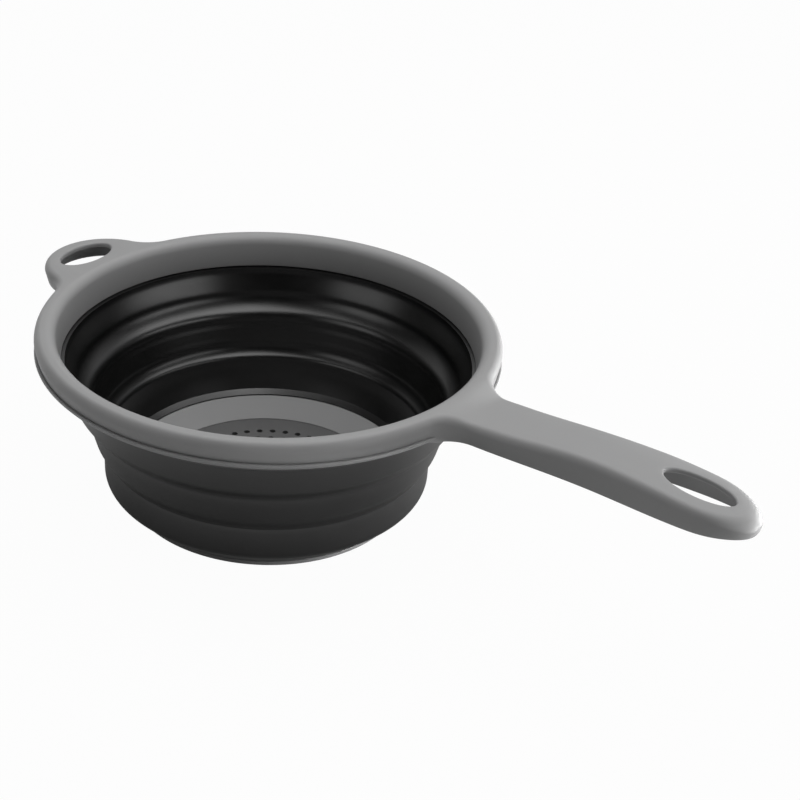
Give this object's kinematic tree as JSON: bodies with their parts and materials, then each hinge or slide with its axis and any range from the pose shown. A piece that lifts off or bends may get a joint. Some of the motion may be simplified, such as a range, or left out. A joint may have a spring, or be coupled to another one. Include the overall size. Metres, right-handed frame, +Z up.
{
  "type": "collapsible colander",
  "caption": "Round collapsible colander with a stiff grey rim, long handle with hanging hole, hanging ear, folding black soft wall and perforated drain base.",
  "frame": {"origin": "centre of the base plate's hub on the rest plane, on the bowl's axis", "axes": "+X along the handle, +Z up along the bowl's axis, the hanging ear on -X"},
  "size_m": [0.3484, 0.2, 0.0832],
  "materials": {
    "grey_plastic": "satin moulded polypropylene",
    "base_plastic": "satin moulded polypropylene",
    "black_rubber": "semi-gloss thermoplastic rubber"
  },
  "bodies": {
    "base": {"base_plate": "base_plastic", "base_clamp_ring": "grey_plastic", "lower_drum": "black_rubber", "lower_fold": "black_rubber"},
    "middle": {"middle_band": "black_rubber", "upper_fold": "black_rubber"},
    "rim": {"upper_band": "black_rubber", "rim_retaining_ring": "grey_plastic", "rim_handle_frame": "grey_plastic"}
  },
  "joints": [
    {"name": "lower_fold_slide", "type": "slide", "parent": "base", "child": "middle", "axis": [0, 0, -1], "range_m": [0, 0.016], "deforming": ["lower_fold"]},
    {"name": "upper_fold_slide", "type": "slide", "parent": "middle", "child": "rim", "axis": [0, 0, -1], "range_m": [0, 0.023], "deforming": ["upper_fold"]}
  ]
}
